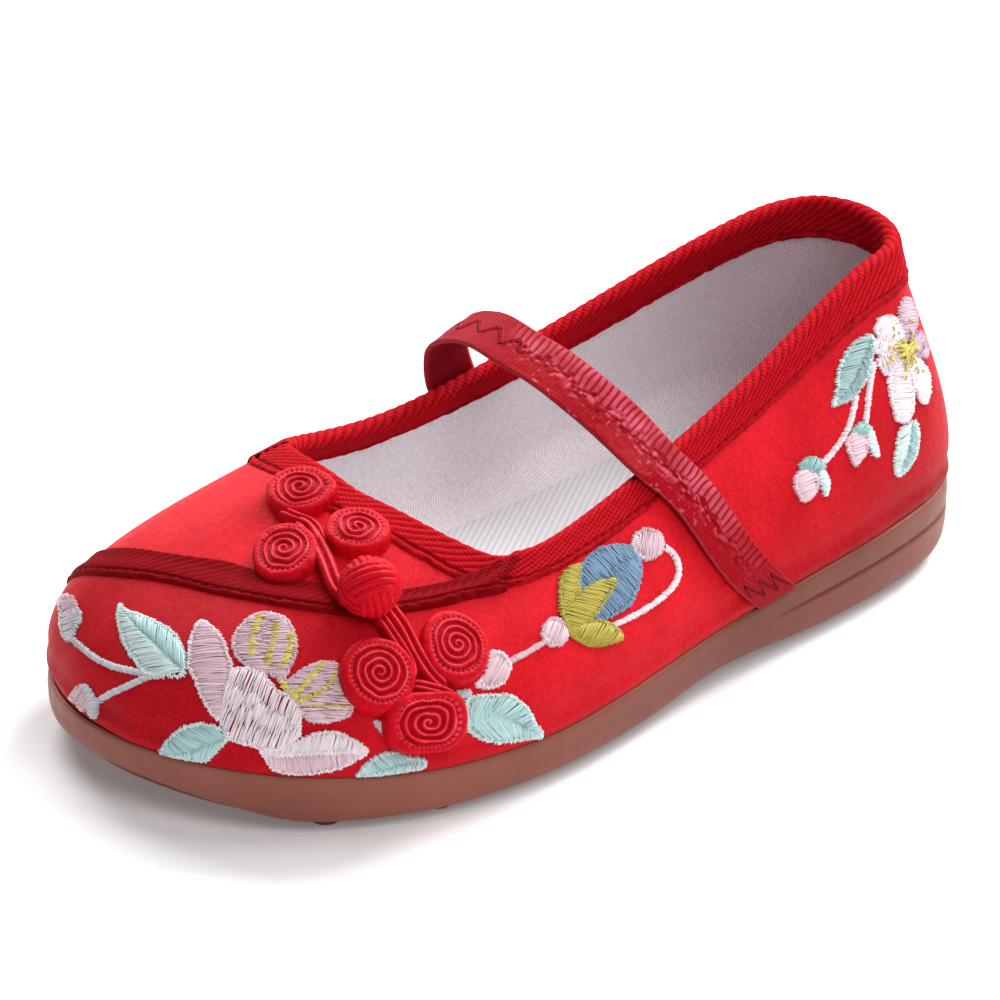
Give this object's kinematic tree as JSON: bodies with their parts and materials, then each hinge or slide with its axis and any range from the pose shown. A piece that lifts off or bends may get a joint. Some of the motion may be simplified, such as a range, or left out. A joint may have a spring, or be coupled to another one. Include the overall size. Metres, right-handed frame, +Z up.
{
  "type": "embroidered dance shoe",
  "caption": "Child's left slip-on dance shoe in red embroidered satin, with an elastic instep band, a knotted cord fastening and a nubbed gum rubber sole, standing empty.",
  "frame": {"origin": "on the floor under the middle of the shoe's box", "axes": "+Z up, +Y from the toe to the heel along the shoe, +X to the outer side of the left foot"},
  "size_m": [0.0772, 0.1796, 0.0556],
  "materials": {
    "gum_rubber": "translucent brown gum rubber, half gloss, with a fine moulded skin",
    "red_satin": "bright red satin with a soft sheen, embroidered in pale pink, aqua, yellow and blue thread",
    "white_twill": "white cotton twill, matte",
    "red_elastic": "dark red woven elastic with shiny cross ribs",
    "red_cord": "red satin cord with a stitched seam, soft sheen"
  },
  "bodies": {
    "root": {"outsole": "gum_rubber", "upper": "red_satin", "insole": "white_twill", "strap": "red_elastic", "frog_loop": "red_cord", "frog_tail": "red_cord"}
  },
  "joints": []
}
